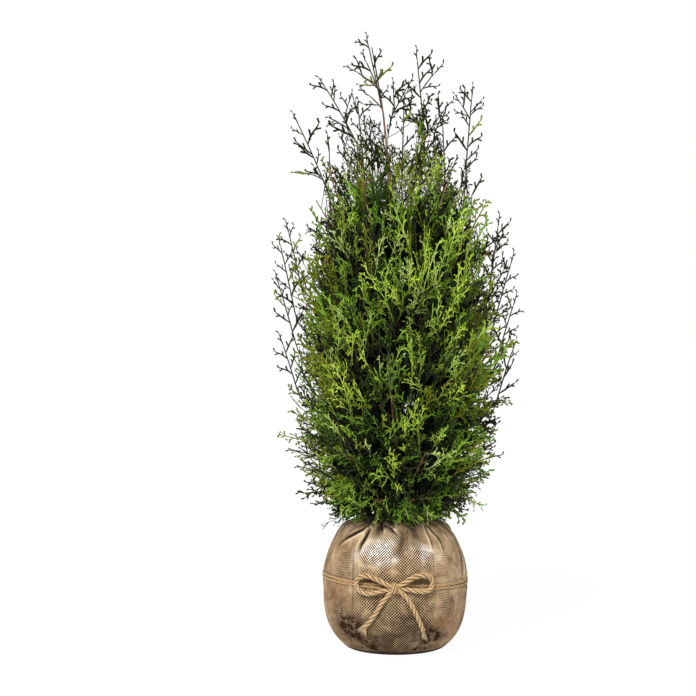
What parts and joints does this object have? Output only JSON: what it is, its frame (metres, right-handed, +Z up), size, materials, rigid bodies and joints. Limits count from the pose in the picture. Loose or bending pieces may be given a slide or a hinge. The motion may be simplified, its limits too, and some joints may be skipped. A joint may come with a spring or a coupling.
{
  "type": "thuja on a hessian-wrapped root ball",
  "caption": "Young upright conifer with an oval crown of flat sprays, standing on a round root ball wrapped in hessian and tied with a twine bow.",
  "frame": {"origin": "centre of the root ball's flat underside, on the surface it stands on", "axes": "+Z up along the trunk, -Y towards the side with the bow, +X to the right as seen from that side"},
  "size_m": [0.4621, 0.4819, 1.196],
  "materials": {
    "soil": "matt moist soil inside hessian",
    "hessian": "coarse plain-woven jute",
    "twine": "hairy twisted jute",
    "bark": "matt fibrous bark",
    "foliage_bright": "satin scale leaves",
    "foliage_green": "satin scale leaves",
    "foliage_dark": "satin scale leaves"
  },
  "bodies": {
    "root": {"bough_1": "bark", "bough_10": "bark", "bough_11": "bark", "bough_2": "bark", "bough_3": "bark", "bough_4": "bark", "bough_5": "bark", "bough_6": "bark", "bough_7": "bark", "bough_8": "bark", "bough_9": "bark", "bow_knot": "twine", "bow_loop_left": "twine", "bow_loop_right": "twine", "bow_tail_left": "twine", "bow_tail_right": "twine", "foliage_high_1": "foliage_bright", "foliage_high_2": "foliage_bright", "foliage_high_3": "foliage_bright", "foliage_high_4": "foliage_bright", "foliage_high_5": "foliage_bright", "foliage_high_6": "foliage_bright", "foliage_low_1": "foliage_green", "foliage_low_2": "foliage_green", "foliage_low_3": "foliage_green", "foliage_low_4": "foliage_green", "foliage_low_5": "foliage_green", "foliage_low_6": "foliage_green", "foliage_low_7": "foliage_green", "foliage_middle_1": "foliage_bright", "foliage_middle_2": "foliage_bright", "foliage_middle_3": "foliage_bright", "foliage_middle_4": "foliage_bright", "foliage_middle_5": "foliage_bright", "foliage_middle_6": "foliage_bright", "foliage_shoulder_1": "foliage_bright", "foliage_shoulder_2": "foliage_bright", "foliage_shoulder_3": "foliage_bright", "foliage_shoulder_4": "foliage_bright", "foliage_shoulder_5": "foliage_bright", "foliage_skirt_1": "foliage_green", "foliage_skirt_2": "foliage_green", "foliage_skirt_3": "foliage_green", "foliage_skirt_4": "foliage_green", "foliage_skirt_5": "foliage_green", "foliage_skirt_6": "foliage_green", "foliage_skirt_7": "foliage_green", "plume_back": "foliage_dark", "plume_far_left": "foliage_dark", "plume_front": "foliage_dark", "plume_leader": "foliage_dark", "plume_left": "foliage_dark", "plume_right": "foliage_dark", "plume_right_leader": "foliage_dark", "root_ball": "soil", "trunk": "bark", "twine_band": "twine", "wrap_collar": "hessian"}
  },
  "joints": []
}
